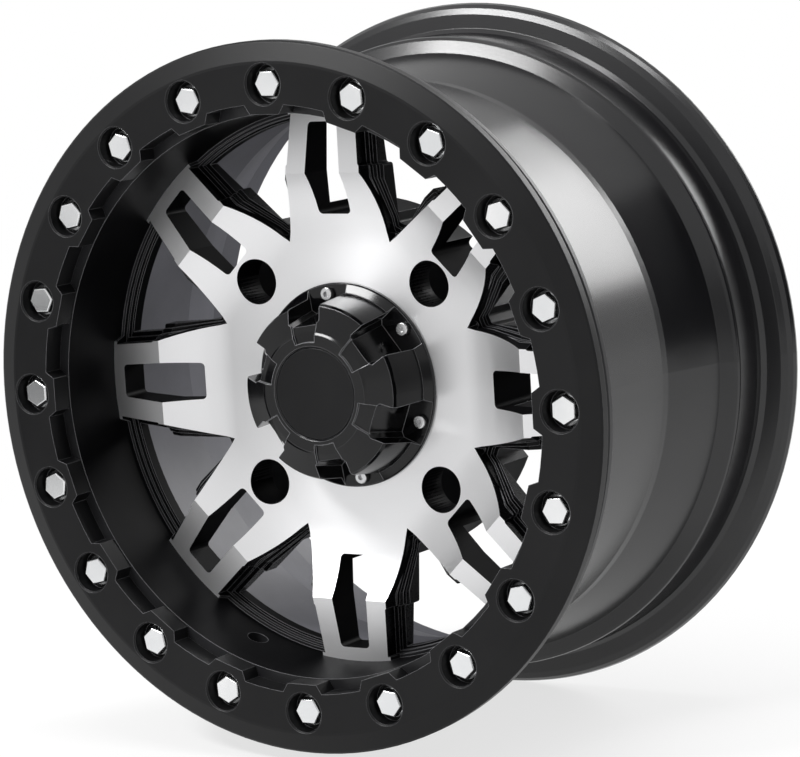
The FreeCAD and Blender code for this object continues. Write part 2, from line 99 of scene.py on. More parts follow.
def feed(tree: bpy.types.NodeTree, source: bpy.types.NodeSocket, target: bpy.types.NodeSocket) -> None:
    """Links one socket to another."""
    tree.links.new(source, target)


def math_node(tree: bpy.types.NodeTree, operation: str, first: Value,
              second: Value | None = None) -> bpy.types.NodeSocket:
    """Adds a math node over sockets or plain numbers.

    Args:
        tree: the node tree to add to.
        operation: the math node's operation.
        first: a socket or a number.
        second: a socket or a number, where the operation takes two.

    Returns:
        The value socket of the result.
    """
    node = add_node(tree, "ShaderNodeMath", operation=operation)
    for socket, value in zip(node.inputs, (first, second)):
        if isinstance(value, bpy.types.NodeSocket):
            feed(tree, value, socket)
        elif value is not None:
            socket.default_value = value
    return node.outputs[0]


def range_node(tree: bpy.types.NodeTree, value: bpy.types.NodeSocket,
               limits: dict[str, float]) -> bpy.types.NodeSocket:
    """Stretches a value from one range to another and clamps it.

    Args:
        tree: the node tree to add to.
        value: the value's socket.
        limits: ends of the ranges by the node's own names.

    Returns:
        The socket of the stretched value.
    """
    node = add_node(tree, "ShaderNodeMapRange", clamp=True)
    set_inputs(node, limits)
    feed(tree, value, node.inputs["Value"])
    return node.outputs["Result"]


def object_noise(tree: bpy.types.NodeTree, values: dict[str, float]) -> bpy.types.Node:
    """Adds a noise texture over the object's own coordinates.

    Args:
        tree: the node tree to add to.
        values: the noise's inputs by name.

    Returns:
        The noise node.
    """
    noise = add_node(tree, "ShaderNodeTexNoise")
    set_inputs(noise, values)
    place = add_node(tree, "ShaderNodeTexCoord")
    feed(tree, place.outputs["Object"], noise.inputs["Vector"])
    return noise


def seen_rays(tree: bpy.types.NodeTree) -> bpy.types.NodeSocket:
    """Returns a mask of the rays that look at a surface: camera, reflected and transmitted ones."""
    path = add_node(tree, "ShaderNodeLightPath")
    seen = math_node(tree, "MAXIMUM", path.outputs["Is Camera Ray"], path.outputs["Is Glossy Ray"])
    return math_node(tree, "MAXIMUM", seen, path.outputs["Is Transmission Ray"])


def blend_shaders(tree: bpy.types.NodeTree, share: bpy.types.NodeSocket, plain: bpy.types.NodeSocket,
                  seen: bpy.types.NodeSocket, surface: bpy.types.NodeSocket) -> None:
    """Mixes two shaders into an output.

    Args:
        tree: the node tree to add to.
        share: the mask that chooses the second shader.
        plain: the first shader.
        seen: the second shader.
        surface: the output's socket.
    """
    mix = add_node(tree, "ShaderNodeMixShader")
    feed(tree, share, mix.inputs["Fac"])
    feed(tree, plain, mix.inputs[1])
    feed(tree, seen, mix.inputs[2])
    feed(tree, mix.outputs["Shader"], surface)


def new_material(name: str) -> tuple[bpy.types.Material, bpy.types.NodeTree, bpy.types.Node]:
    """Returns a new material, its tree and its shader."""
    material = bpy.data.materials.new(name)
    material.use_nodes = True
    return material, material.node_tree, material.node_tree.nodes["Principled BSDF"]


def new_group(name: str, inputs: dict[str, float], outputs: dict[str, str]) -> bpy.types.NodeTree:
    """Starts a shader node group with number inputs.

    Args:
        name: the group's name.
        inputs: default values by socket name.
        outputs: socket types by socket name.

    Returns:
        The group with its input and output nodes.
    """
    group = bpy.data.node_groups.new(name, "ShaderNodeTree")
    for label, value in inputs.items():
        socket = group.interface.new_socket(label, in_out="INPUT", socket_type="NodeSocketFloat")
        socket.default_value = value
    for label, kind in outputs.items():
        group.interface.new_socket(label, in_out="OUTPUT", socket_type=kind)
    add_node(group, "NodeGroupInput")
    add_node(group, "NodeGroupOutput")
    return group


def group_ends(group: bpy.types.NodeTree) -> tuple[bpy.types.Node, bpy.types.Node]:
    """Returns the input and output nodes of a group."""
    start = next(n for n in group.nodes if n.bl_idname == "NodeGroupInput")
    end = next(n for n in group.nodes if n.bl_idname == "NodeGroupOutput")
    return start, end


def wandering(group: bpy.types.NodeTree, start: bpy.types.Node,
              swing: bpy.types.NodeSocket) -> bpy.types.NodeSocket:
    """Returns a roughness that wanders about its mean.

    Args:
        group: the effect's group.
        start: the group's input node, with a mean and a spread.
        swing: a value about zero.

    Returns:
        The roughness socket.
    """
    spread = math_node(group, "MULTIPLY", swing, start.outputs["Spread"])
    return math_node(group, "ADD", spread, start.outputs["Roughness"])


class EffectGroups:
    """Surface effects that several finishes share, each a node group built once."""

    def __init__(self) -> None:
        """Builds the grain, film, lathe and edge groups; the edge group also masks where a highlight is
        painted along the edges.
        """
        self.grain = self._grain()
        self.film = self._film()
        self.lathe = self._lathe()
        self.painted_glint = self._painted_glint()

    def _grain(self) -> bpy.types.NodeTree:
        """Returns the sprayed-paint grain: roughness that wanders and a fine orange-peel height."""
        group = new_group(
            "spray_grain",
            {"Scale": 900.0, "Roughness": 0.35, "Spread": 0.1},
            {"Roughness": "NodeSocketFloat", "Height": "NodeSocketFloat"},
        )
        start, end = group_ends(group)
        fine = object_noise(group, {"Detail": 3.0})
        feed(group, start.outputs["Scale"], fine.inputs["Scale"])
        broad = object_noise(group, {"Scale": 22.0, "Detail": 4.0})
        mixed = math_node(group, "ADD", fine.outputs["Fac"], broad.outputs["Fac"])
        rough = wandering(group, start, math_node(group, "SUBTRACT", mixed, 1.0))
        feed(group, rough, end.inputs["Roughness"])
        feed(group, fine.outputs["Fac"], end.inputs["Height"])
        return group

    def _film(self) -> bpy.types.NodeTree:
        """Returns a thin uneven handling film as a tint mask."""
        group = new_group("handling_film", {"Amount": 0.3}, {"Tint": "NodeSocketFloat"})
        start, end = group_ends(group)
        cloud = object_noise(group, {"Scale": 14.0, "Detail": 6.0, "Roughness": 0.62})
        shaped = range_node(group, cloud.outputs["Fac"], {"From Min": 0.38, "From Max": 0.72})
        feed(group, math_node(group, "MULTIPLY", shaped, start.outputs["Amount"]), end.inputs["Tint"])
        return group

    def _lathe(self) -> bpy.types.NodeTree:
        """Returns the fine rings that a lathe tool leaves, as roughness, height and tint over the radius."""
        group = new_group(
            "lathe_rings",
            {"Pitch": 5200.0, "Roughness": 0.3, "Spread": 0.14},
            {"Roughness": "NodeSocketFloat", "Height": "NodeSocketFloat", "Tint": "NodeSocketFloat"},
        )
        start, end = group_ends(group)
        place = add_node(group, "ShaderNodeTexCoord")
        parts = add_node(group, "ShaderNodeSeparateXYZ")
        feed(group, place.outputs["Object"], parts.inputs[0])
        square_x = math_node(group, "POWER", parts.outputs["X"], 2.0)
        square_z = math_node(group, "POWER", parts.outputs["Z"], 2.0)
        radius = math_node(group, "SQRT", math_node(group, "ADD", square_x, square_z))
        rings = add_node(group, "ShaderNodeTexNoise", noise_dimensions="1D")
        set_inputs(rings, {"Detail": 4.0, "Roughness": 0.7})
        feed(group, radius, rings.inputs["W"])
        feed(group, start.outputs["Pitch"], rings.inputs["Scale"])
        rough = wandering(group, start, math_node(group, "SUBTRACT", rings.outputs["Fac"], 0.5))
        feed(group, rough, end.inputs["Roughness"])
        feed(group, rings.outputs["Fac"], end.inputs["Height"])
        feed(group, rings.outputs["Fac"], end.inputs["Tint"])
        return group

    def _painted_glint(self) -> bpy.types.NodeTree:
        """Returns rounded edges: the rounded normal and a mask of the edges, along which a highlight is
        painted into the colour.
        """
        group = new_group(
            "edge_painted_glint",
            {"Radius": 0.0005, "Amount": 1.0},
            {"Mask": "NodeSocketFloat", "Normal": "NodeSocketVector"},
        )
        start, end = group_ends(group)
        rounded = add_node(group, "ShaderNodeBevel", samples=8)
        feed(group, start.outputs["Radius"], rounded.inputs["Radius"])
        flat = add_node(group, "ShaderNodeNewGeometry")
        match = add_node(group, "ShaderNodeVectorMath", operation="DOT_PRODUCT")
        feed(group, rounded.outputs["Normal"], match.inputs[0])
        feed(group, flat.outputs["True Normal"], match.inputs[1])
        edge = range_node(group, match.outputs["Value"], {"From Min": 0.985, "From Max": 0.80})
        feed(group, math_node(group, "MULTIPLY", edge, start.outputs["Amount"]), end.inputs["Mask"])
        feed(group, rounded.outputs["Normal"], end.inputs["Normal"])
        return group


@dataclass(frozen=True)
class Finish(ABC):
    """Shared description of one finish.

    Attributes:
        name: the material's name.
        dark: the colour in the hollows of its variation.
        light: the colour on the peaks of its variation.
        roughness: the mean roughness.
        spread: how far the roughness wanders.
    """

    name: str
    dark: Colour
    light: Colour
    roughness: float
    spread: float

    @abstractmethod
    def build(self, effects: EffectGroups) -> bpy.types.Material:
        """Returns the finished material."""

    def use(self, tree: bpy.types.NodeTree, group: bpy.types.NodeTree, **values: float) -> bpy.types.Node:
        """Places an effect group in the material.

        Args:
            tree: the material's tree.
            group: the shared effect.
            values: the group's inputs by name.

        Returns:
            The group node.
        """
        node = add_node(tree, "ShaderNodeGroup", node_tree=group)
        set_inputs(node, values)
        return node

    def tint(self, tree: bpy.types.NodeTree, mask: bpy.types.NodeSocket) -> bpy.types.NodeSocket:
        """Returns a colour that goes from dark to light by a mask.

        Args:
            tree: the material's tree.
            mask: the mask's socket.

        Returns:
            The colour's socket.
        """
        mix = add_node(tree, "ShaderNodeMix", data_type="RGBA")
        set_inputs(mix, {"A": (*self.dark, 1.0), "B": (*self.light, 1.0)})
        feed(tree, mask, mix.inputs["Factor"])
        return mix.outputs["Result"]

    def bump(self, tree: bpy.types.NodeTree, height: bpy.types.NodeSocket, shader: bpy.types.Node,
             strength: float, distance: float) -> bpy.types.Node:
        """Drives the shader's normal by a height.

        Args:
            tree: the material's tree.
            height: the height socket.
            shader: the material's shader.
            strength: share of the height that is used.
            distance: full height, metres.

        Returns:
            The bump node.
        """
        node = add_node(tree, "ShaderNodeBump")
        set_inputs(node, {"Strength": strength, "Distance": distance})
        feed(tree, height, node.inputs["Height"])
        feed(tree, node.outputs["Normal"], shader.inputs["Normal"])
        return node


@dataclass(frozen=True)
class SprayedFinish(Finish):
    """Sprayed paint or moulded plastic with a fine grain, a thin film of handling and a highlight painted
    along its edges.

    Attributes:
        specular: the shader's specular level.
        grain_scale: grains per metre.
        grain_depth: height of the grain in metres.
        relief: share of that height that shows.
        edge: radius of the rounded edges in metres.
        painted_glint: how strongly a highlight is painted into the colour along the edges.
    """

    specular: float = 0.5
    grain_scale: float = 900.0
    grain_depth: float = 0.00004
    relief: float = 0.25
    edge: float = 0.0005
    painted_glint: float = 0.5

    def build(self, effects: EffectGroups) -> bpy.types.Material:
        """Returns the finished material."""
        material, tree, shader = new_material(self.name)
        set_inputs(shader, {"Specular IOR Level": self.specular})
        grain = self.use(tree, effects.grain, Scale=self.grain_scale, Roughness=self.roughness,
                         Spread=self.spread)
        feed(tree, grain.outputs[Sink.ROUGHNESS.value], shader.inputs["Roughness"])
        relief = self.bump(tree, grain.outputs[Sink.HEIGHT.value], shader, self.relief, self.grain_depth)
        film = self.use(tree, effects.film, Amount=1.0)
        paint = self.tint(tree, film.outputs[Sink.TINT.value])
        edges = self.use(tree, effects.painted_glint, Radius=self.edge, Amount=self.painted_glint)
        feed(tree, edges.outputs[Sink.NORMAL.value], relief.inputs["Normal"])
        # Paints a highlight into the base colour along the edges.
        painted_highlight = add_node(tree, "ShaderNodeMix", data_type="RGBA")
        set_inputs(painted_highlight, {"B": (*PAINTED_EDGE_HIGHLIGHT, 1.0)})
        feed(tree, edges.outputs[Sink.MASK.value], painted_highlight.inputs["Factor"])
        feed(tree, paint, painted_highlight.inputs["A"])
        feed(tree, painted_highlight.outputs["Result"], shader.inputs["Base Color"])
        return material


@dataclass(frozen=True)
class TurnedFinish(Finish):
    """Bare aluminium with lathe rings about the wheel axis.

    Attributes:
        anisotropy: how far the rings stretch the highlights.
        quarter: turn of that stretch against the tangent, in full turns.
        pitch: rings per metre.
        ring_depth: height of the rings in metres.
        relief: share of that height that shows.
    """

    anisotropy: float = 0.6
    quarter: float = 0.25
    pitch: float = 5200.0
    ring_depth: float = 0.00001
    relief: float = 0.2

    def build(self, effects: EffectGroups) -> bpy.types.Material:
        """Returns the finished material."""
        material, tree, shader = new_material(self.name)
        set_inputs(shader, {
            "Metallic": 1.0,
            "Anisotropic": self.anisotropy,
            "Anisotropic Rotation": self.quarter,
        })
        rings = self.use(tree, effects.lathe, Pitch=self.pitch, Roughness=self.roughness, Spread=self.spread)
        feed(tree, rings.outputs[Sink.ROUGHNESS.value], shader.inputs["Roughness"])
        feed(tree, self.tint(tree, rings.outputs[Sink.TINT.value]), shader.inputs["Base Color"])
        self.bump(tree, rings.outputs[Sink.HEIGHT.value], shader, self.relief, self.ring_depth)
        along = add_node(tree, "ShaderNodeTangent", direction_type="RADIAL", axis="Y")
        feed(tree, along.outputs["Tangent"], shader.inputs["Tangent"])
        return material


@dataclass(frozen=True)
class PlatedFinish(Finish):
    """Plated steel: bright, a little cloudy, with a faint grain.

    Attributes:
        grain_scale: grains per metre.
        grain_depth: height of the grain in metres.
        relief: share of that height that shows.
    """

    grain_scale: float = 1600.0
    grain_depth: float = 0.00002
    relief: float = 0.15

    def build(self, effects: EffectGroups) -> bpy.types.Material:
        """Returns the finished material."""
        material, tree, shader = new_material(self.name)
        set_inputs(shader, {"Metallic": 1.0})
        grain = self.use(tree, effects.grain, Scale=self.grain_scale, Roughness=self.roughness,
                         Spread=self.spread)
        feed(tree, grain.outputs[Sink.ROUGHNESS.value], shader.inputs["Roughness"])
        film = self.use(tree, effects.film, Amount=1.0)
        feed(tree, self.tint(tree, film.outputs[Sink.TINT.value]), shader.inputs["Base Color"])
        self.bump(tree, grain.outputs[Sink.HEIGHT.value], shader, self.relief, self.grain_depth)
        return material


# Unless painted_glint is 0, a finish paints a highlight into its colour along its edges.
CAST_PAINT = SprayedFinish(
    name="cast_paint", dark=(0.012, 0.012, 0.013), light=(0.018, 0.018, 0.020),
    roughness=0.34, spread=0.08, specular=0.30)
WELL_PAINT = SprayedFinish(
    name="well_paint", dark=(0.002, 0.002, 0.0025), light=(0.004, 0.004, 0.0045),
    roughness=0.28, spread=0.06, specular=0.10, edge=0.0008, painted_glint=0.45)
DRUM_PAINT = SprayedFinish(
    name="drum_paint", dark=(0.002, 0.002, 0.0025), light=(0.004, 0.004, 0.0045),
    roughness=0.46, spread=0.08, specular=0.06)
SLOT_PAINT = SprayedFinish(
    name="slot_paint", dark=(0.002, 0.002, 0.0025), light=(0.003, 0.003, 0.0035),
    roughness=0.50, spread=0.05, specular=0.02, painted_glint=0.0)
# The inside of the barrel is coloured light grey as a painted reflection of the light that falls in.
INSIDE_PAINTED_REFLECTION = SprayedFinish(
    name="inside_painted_reflection", dark=(0.150, 0.150, 0.170), light=(0.190, 0.190, 0.215),
    roughness=0.45, spread=0.10, specular=0.4, painted_glint=0.0)
BARREL_PAINT = SprayedFinish(
    name="barrel_paint", dark=(0.005, 0.005, 0.006), light=(0.009, 0.009, 0.010),
    roughness=0.23, spread=0.04, specular=0.55, painted_glint=0.0)
RING_PAINT = SprayedFinish(
    name="ring_paint", dark=(0.003, 0.003, 0.0035), light=(0.006, 0.006, 0.0065),
    roughness=0.38, spread=0.10, specular=0.22)
CAP_PLASTIC = SprayedFinish(
    name="cap_plastic", dark=(0.002, 0.002, 0.0025), light=(0.004, 0.004, 0.0045),
    roughness=0.15, spread=0.05, specular=0.34, grain_scale=1400.0, grain_depth=0.00002,
    edge=0.0008, painted_glint=0.7)
DISC_PLASTIC = SprayedFinish(
    name="disc_plastic", dark=(0.004, 0.004, 0.0045), light=(0.007, 0.007, 0.0075),
    roughness=0.25, spread=0.08, specular=0.22, grain_scale=2200.0, grain_depth=0.00002, edge=0.0003)
TURNED_METAL = TurnedFinish(
    name="turned_aluminium", dark=(0.80, 0.80, 0.81), light=(0.92, 0.92, 0.93),
    roughness=0.36, spread=0.14, anisotropy=0.75)
ZINC = PlatedFinish(
    name="bolt_zinc", dark=(0.74, 0.75, 0.76), light=(0.90, 0.90, 0.90), roughness=0.22, spread=0.10)
SCREW_STEEL = PlatedFinish(
    name="screw_steel", dark=(0.62, 0.62, 0.63), light=(0.82, 0.82, 0.82), roughness=0.24, spread=0.10)

CASTING_FINISHES: dict[Surface, Finish] = {
    Surface.PAINT: CAST_PAINT,
    Surface.TURNED: TURNED_METAL,
    Surface.BARREL: BARREL_PAINT,
    Surface.WELL: WELL_PAINT,
    Surface.DRUM: DRUM_PAINT,
    Surface.INSIDE: INSIDE_PAINTED_REFLECTION,
    Surface.SLOT: SLOT_PAINT,
}


@dataclass
class Casting:
    """Dresses the one-piece casting: which faces are turned bright and which carry which paint.

    Heights are along the wheel axis from the hub's mounting face, and negative towards the styled face.

    Attributes:
        node: the CAD node's name.
        spokes: number of spokes.
        face_y: height of the flat hub face, mm.
        dish_start: along the spoke, where the dished arc starts, mm.
        dish_radius: radius of that arc, mm.
        knuckle_at: along the spoke, where the knuckle is, mm.
        end_at: along the spoke, where the turned face ends, mm.
        end_y: height of the face there, mm.
        back_y: height of the rear of the spokes, mm.
        slot_from: along the spoke, where its slot starts, mm.
        slot_half: half of the slot's greatest width, mm.
        turned_to: radius that the turned faces stay inside, mm.
        turned_gap: how far the centre of a turned face may lie off the dish, mm.
        turned_tilt: least share of a turned face's normal that points out of the styled face.
        barrel_from: radius that the outside of the barrel stays outside, mm.
        barrel_y: height where the outside of the barrel starts, behind the clamp ring's seat, mm.
        lip_y: height behind which the end faces of the rear lip count as outside, mm.
        bore_from: radius that the inside of the barrel stays outside, mm.
        well_to: radius that the window walls stay inside, mm.
        well_past: how far the window walls reach behind the spokes, mm.
        lean: least share of a normal along the radius for a face to look in or out.
        upright: most share of a normal along the axis for a wall of a slot.
    """

    node: str = "wheel_casting"
    spokes: int = 8
    face_y: float = -35.9
    dish_start: float = 75.0
    dish_radius: float = 70.0
    knuckle_at: float = 115.3
    end_at: float = 148.8
    end_y: float = -44.4
    back_y: float = -27.0
    slot_from: float = 88.0
    slot_half: float = 11.2
    turned_to: float = 150.2
    turned_gap: float = 0.8
    turned_tilt: float = 0.6
    barrel_from: float = 155.0
    barrel_y: float = -78.5
    lip_y: float = 95.0
    bore_from: float = 140.0
    well_to: float = 147.0
    well_past: float = 1.0
    lean: float = 0.15
    upright: float = 0.2

    def dish_y(self, along: float) -> float:
        """Returns the height of the turned face at a distance along a spoke, in mm."""
        if along <= self.dish_start:
            return self.face_y
        arc = min(along, self.knuckle_at) - self.dish_start
        height = self.face_y - self.dish_radius + math.sqrt(self.dish_radius ** 2 - arc ** 2)
        if along <= self.knuckle_at:
            return height
        share = (along - self.knuckle_at) / (self.end_at - self.knuckle_at)
        return height + share * (self.end_y - height)

    def on_barrel(self, radius: float, height: float, outward: float) -> bool:
        """Tells whether a face is on the outside of the barrel or on its rear lip.

        Args:
            radius: the face's distance from the wheel axis, mm.
            height: its height along the axis, mm.
            outward: share of its normal along the radius.

        Returns:
            True on the outside of the barrel.
        """
        if radius <= self.barrel_from or height <= self.barrel_y:
            return False
        return outward > self.lean or (height > self.lip_y and outward > -self.lean)

    def surface(self, centre: Vector, normal: Vector) -> Surface:
        """Tells which finish a face carries.

        Args:
            centre: the face's centre, metres.
            normal: the face's outward normal.

        Returns:
            The region that the face belongs to.
        """
        radius = math.hypot(centre.x, centre.z) / MM
        height = centre.y / MM
        step = 2.0 * math.pi / self.spokes
        turn = (math.atan2(centre.z, centre.x) + step / 2) % step - step / 2
        along = radius * math.cos(turn)
        across = abs(radius * math.sin(turn))
        outward = (centre.x * normal.x + centre.z * normal.z) / max(radius * MM, 1e-6)
        on_dish = abs(height - self.dish_y(along)) < self.turned_gap
        if normal.y < -self.turned_tilt and radius < self.turned_to and on_dish:
            return Surface.TURNED
        if self.on_barrel(radius, height, outward):
            return Surface.BARREL
        if radius > self.bore_from and outward < -self.lean:
            return Surface.DRUM if height < self.back_y else Surface.INSIDE
        in_slot = self.slot_from < along < self.end_at and across < self.slot_half
        if in_slot and abs(normal.y) < self.upright:
            return Surface.SLOT
        if radius < self.well_to and height < self.back_y + self.well_past:
            return Surface.WELL
        return Surface.PAINT

    def dress(self, effects: EffectGroups) -> None:
        """Gives the casting its finishes, face by face."""
        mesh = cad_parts[self.node].data
        mesh.materials.clear()
        for region in Surface:
            mesh.materials.append(CASTING_FINISHES[region].build(effects))
        for face in mesh.polygons:
            face.material_index = self.surface(face.center, face.normal).value
        LOG.info("%s: %d faces", self.node, len(mesh.polygons))


@dataclass
class PlainNode:
    """Dresses a CAD node that has one finish.

    Attributes:
        node: the CAD node's name.
        finish: its finish.
    """

    node: str
    finish: Finish

    def dress(self, effects: EffectGroups) -> None:
        """Gives the node its finish."""
        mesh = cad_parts[self.node].data
        mesh.materials.clear()
        mesh.materials.append(self.finish.build(effects))
        LOG.info("%s: %s", self.node, self.finish.name)


def finish_piece(work: bmesh.types.BMesh, name: str, node: str,
                 material: bpy.types.Material) -> bpy.types.Object:
    """Closes a modelled piece and puts it in the scene in place of its CAD node.

    Args:
        work: the mesh, already in place in metres.
        name: the new object's name.
        node: the CAD node that it stands for.
        material: its finish.

    Returns:
        The new object.
    """
    bmesh.ops.recalc_face_normals(work, faces=work.faces)
    mesh = bpy.data.meshes.new(name)
    work.to_mesh(mesh)
    work.free()
    mesh.materials.append(material)
    piece = bpy.data.objects.new(name, mesh)
    bpy.context.scene.collection.objects.link(piece)
    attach(piece, "root")
    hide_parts(node)
    LOG.info("%s: %d faces", name, len(mesh.polygons))
    return piece


def spun_profile(work: bmesh.types.BMesh, profile: list[Size], steps: int) -> None:
    """Spins a profile about the local Z axis into a smooth closed skin.

    Args:
        work: the mesh to add to.
        profile: (radius, height) corners in mm; it starts and ends on the axis.
        steps: facets round the axis.
    """
    points = [work.verts.new((radius * MM, 0.0, height * MM)) for radius, height in profile]
    edges = [work.edges.new(pair) for pair in zip(points, points[1:])]
    bmesh.ops.spin(work, geom=points + edges, cent=(0, 0, 0), axis=(0, 0, 1), angle=2 * math.pi,
                   steps=steps, use_merge=True)
    bmesh.ops.remove_doubles(work, verts=work.verts, dist=1e-7)
    for face in work.faces:
        face.smooth = True


def raise_face(work: bmesh.types.BMesh, base: bmesh.types.BMFace,
               rise: float) -> tuple[bmesh.types.BMFace, list[bmesh.types.BMVert]]:
    """Extrudes a face along the local Z axis.

    Args:
        work: the mesh that holds the face.
        base: the face.
        rise: how far it is raised, mm.

    Returns:
        The raised face and its corners.
    """
    raised = bmesh.ops.extrude_face_region(work, geom=[base])["geom"]
    corners = [v for v in raised if isinstance(v, bmesh.types.BMVert)]
    bmesh.ops.translate(work, verts=corners, vec=(0, 0, rise * MM))
    return next(f for f in raised if isinstance(f, bmesh.types.BMFace)), corners


def round_edges(work: bmesh.types.BMesh, edges: list[bmesh.types.BMEdge], radius: float, steps: int) -> None:
    """Rounds edges of a mesh.

    Args:
        work: the mesh that holds them.
        edges: the edges.
        radius: how far the rounding reaches from the edge, mm.
        steps: facets across the rounding.
    """
    bmesh.ops.bevel(work, geom=edges, offset=radius * MM, offset_type="OFFSET", segments=steps,
                    profile=0.5, affect="EDGES", material=-1)


def outboard(radius: float, height: float, degrees: float) -> Matrix:
    """Returns the place of a fastener whose local Z points out of the styled face.

    Args:
        radius: distance from the wheel axis, mm.
        height: its seat along the wheel axis, mm.
        degrees: angle about the axis, anticlockwise from +X as seen from the styled face.

    Returns:
        The transform from local metres to the row frame.
    """
    turn = Matrix.Rotation(-math.radians(degrees), 4, "Y")
    lift = Matrix.Translation((radius * MM, height * MM, 0.0))
    return turn @ lift @ Matrix.Rotation(math.pi / 2, 4, "X")


def copies(one: bmesh.types.BMesh, places: list[Matrix]) -> bmesh.types.BMesh:
    """Copies a modelled head to each of its places and frees the original.

    Args:
        one: the head, at the origin.
        places: a transform for each copy.

    Returns:
        One mesh that holds all the copies.
    """
    bmesh.ops.recalc_face_normals(one, faces=one.faces)
    pattern = bpy.data.meshes.new("pattern")
    one.to_mesh(pattern)
    one.free()
    group = bmesh.new()
    for place in places:
        before = len(group.verts)
        group.from_mesh(pattern)
        bmesh.ops.transform(group, matrix=place, verts=list(group.verts)[before:])
    bpy.data.meshes.remove(pattern)
    return group


@dataclass
class RingBolts:
    """Hexagon flange bolts of the clamp ring.

    Attributes:
        count: number of bolts.
        circle: radius of their circle, mm.
        seat_y: underside of their heads along the wheel axis, mm.
        across: across flats, mm.
        head: height of the hexagon, mm.
        foot: how far the hexagon starts inside the flange, mm.
        flange: flange radius, mm.
        flange_thick: flange thickness, mm.
        rim: height of the flange's rim, mm.
        rim_chamfer: chamfer under the rim, mm.
        rim_draft: how far the rim leans in, mm.
        flange_slope: how far the flange's top slopes in, mm.
        crown: height of the raised crown on the hexagon, mm.
        crown_in: how far the crown is set in, mm.
        soft: rounding of the hexagon's edges, mm.
        twist: step of the angles at which the heads came to rest, degrees.
    """

    count: int = 20
    circle: float = 166.5
    seat_y: float = -88.9
    across: float = 13.8
    head: float = 4.6
    foot: float = 0.4
    flange: float = 9.2
    flange_thick: float = 1.4
    rim: float = 0.75
    rim_chamfer: float = 0.3
    rim_draft: float = 0.2
    flange_slope: float = 1.1
    crown: float = 0.75
    crown_in: float = 0.95
    soft: float = 0.28
    twist: float = 17.0

    def one(self) -> bmesh.types.BMesh:
        """Returns one bolt head with its seat at the origin and its axis along Z."""
        work = bmesh.new()
        skirt = [
            (0.0, 0.0),
            (self.flange - self.rim_chamfer, 0.0),
            (self.flange, self.rim_chamfer),
            (self.flange - self.rim_draft, self.rim),
            (self.flange - self.flange_slope, self.flange_thick),
            (0.0, self.flange_thick),
        ]
        spun_profile(work, skirt, 40)
        radius = self.across / math.sqrt(3.0) * MM
        hexagon = bmesh.ops.create_circle(work, cap_ends=True, segments=6, radius=radius)["verts"]
        bmesh.ops.translate(work, verts=hexagon, vec=(0, 0, (self.flange_thick - self.foot) * MM))
        base = next(f for f in work.faces if set(f.verts) == set(hexagon))
        rise = self.head + self.foot - self.crown
        crown, ledge = raise_face(work, base, rise)
        bmesh.ops.inset_individual(work, faces=[crown], thickness=self.crown_in * MM, depth=self.crown * MM)
        upright = [e for e in work.edges if abs(e.verts[0].co.z - e.verts[1].co.z) > rise / 2 * MM]
        shoulder = [e for e in work.edges if all(v in ledge for v in e.verts)]
        round_edges(work, upright + list(crown.edges) + shoulder, self.soft, 3)
        return work

    def place(self, index: int) -> Matrix:
        """Returns the place of a bolt, turned to one of five angles."""
        twist = Matrix.Rotation(math.radians(self.twist * (index * 7 % 5)), 4, "Z")
        return outboard(self.circle, self.seat_y, 360.0 * index / self.count) @ twist

    def build(self, effects: EffectGroups) -> bpy.types.Object:
        """Returns all the bolt heads as one piece."""
        heads = copies(self.one(), [self.place(index) for index in range(self.count)])
        return finish_piece(heads, "ring_bolt_heads", "ring_bolts", ZINC.build(effects))


@dataclass
class CapScrews:
    """Socket screws of the centre cap.

    Attributes:
        count: number of screws.
        circle: radius of their circle, mm.
        phase: angle of the first, degrees.
        seat_y: underside of their heads along the wheel axis, mm.
        head_radius: head radius, mm.
        head: head height, mm.
        soft: rounding of the head's edge, mm.
        socket: across flats of the key socket, mm.
        socket_depth: depth of the key socket, mm.
        socket_draft: how far the socket narrows to its bottom, mm.
        land: first width of the flat round the socket, mm.
    """

    count: int = 6
    circle: float = 50.0
    phase: float = 38.6
    seat_y: float = -38.3
    head_radius: float = 3.6
    head: float = 2.8
    soft: float = 0.55
    socket: float = 3.0
    socket_depth: float = 1.6
    socket_draft: float = 0.02
    land: float = 0.9

    def one(self) -> bmesh.types.BMesh:
        """Returns one screw head with its seat at the origin and its axis along Z."""
        work = bmesh.new()
        bmesh.ops.create_circle(work, cap_ends=True, segments=36, radius=self.head_radius * MM)
        top = raise_face(work, next(iter(work.faces)), self.head)[1]
        round_edges(work, [e for e in work.edges if all(v in top for v in e.verts)], self.soft, 4)
        crown = max(work.faces, key=lambda f: f.calc_center_median().z)
        for face in work.faces:
            face.smooth = face is not crown
        bmesh.ops.inset_individual(work, faces=[crown], thickness=self.land * MM, depth=0.0)
        for vertex in crown.verts:
            flat = Vector((vertex.co.x, vertex.co.y, 0.0))
            turn = math.atan2(flat.y, flat.x) % (math.pi / 3) - math.pi / 6
            reach = self.socket / 2 * MM / math.cos(turn)
            vertex.co = flat.normalized() * reach + Vector((0, 0, vertex.co.z))
        bmesh.ops.inset_individual(work, faces=[crown], thickness=self.socket_draft * MM,
                                   depth=-self.socket_depth * MM)
        return work

    def place(self, index: int) -> Matrix:
        """Returns the place of a screw."""
        return outboard(self.circle, self.seat_y, self.phase + 360.0 * index / self.count)

    def build(self, effects: EffectGroups) -> bpy.types.Object:
        """Returns all the screw heads as one piece."""
        heads = copies(self.one(), [self.place(index) for index in range(self.count)])
        return finish_piece(heads, "cap_screw_heads", "cap_screws", SCREW_STEEL.build(effects))


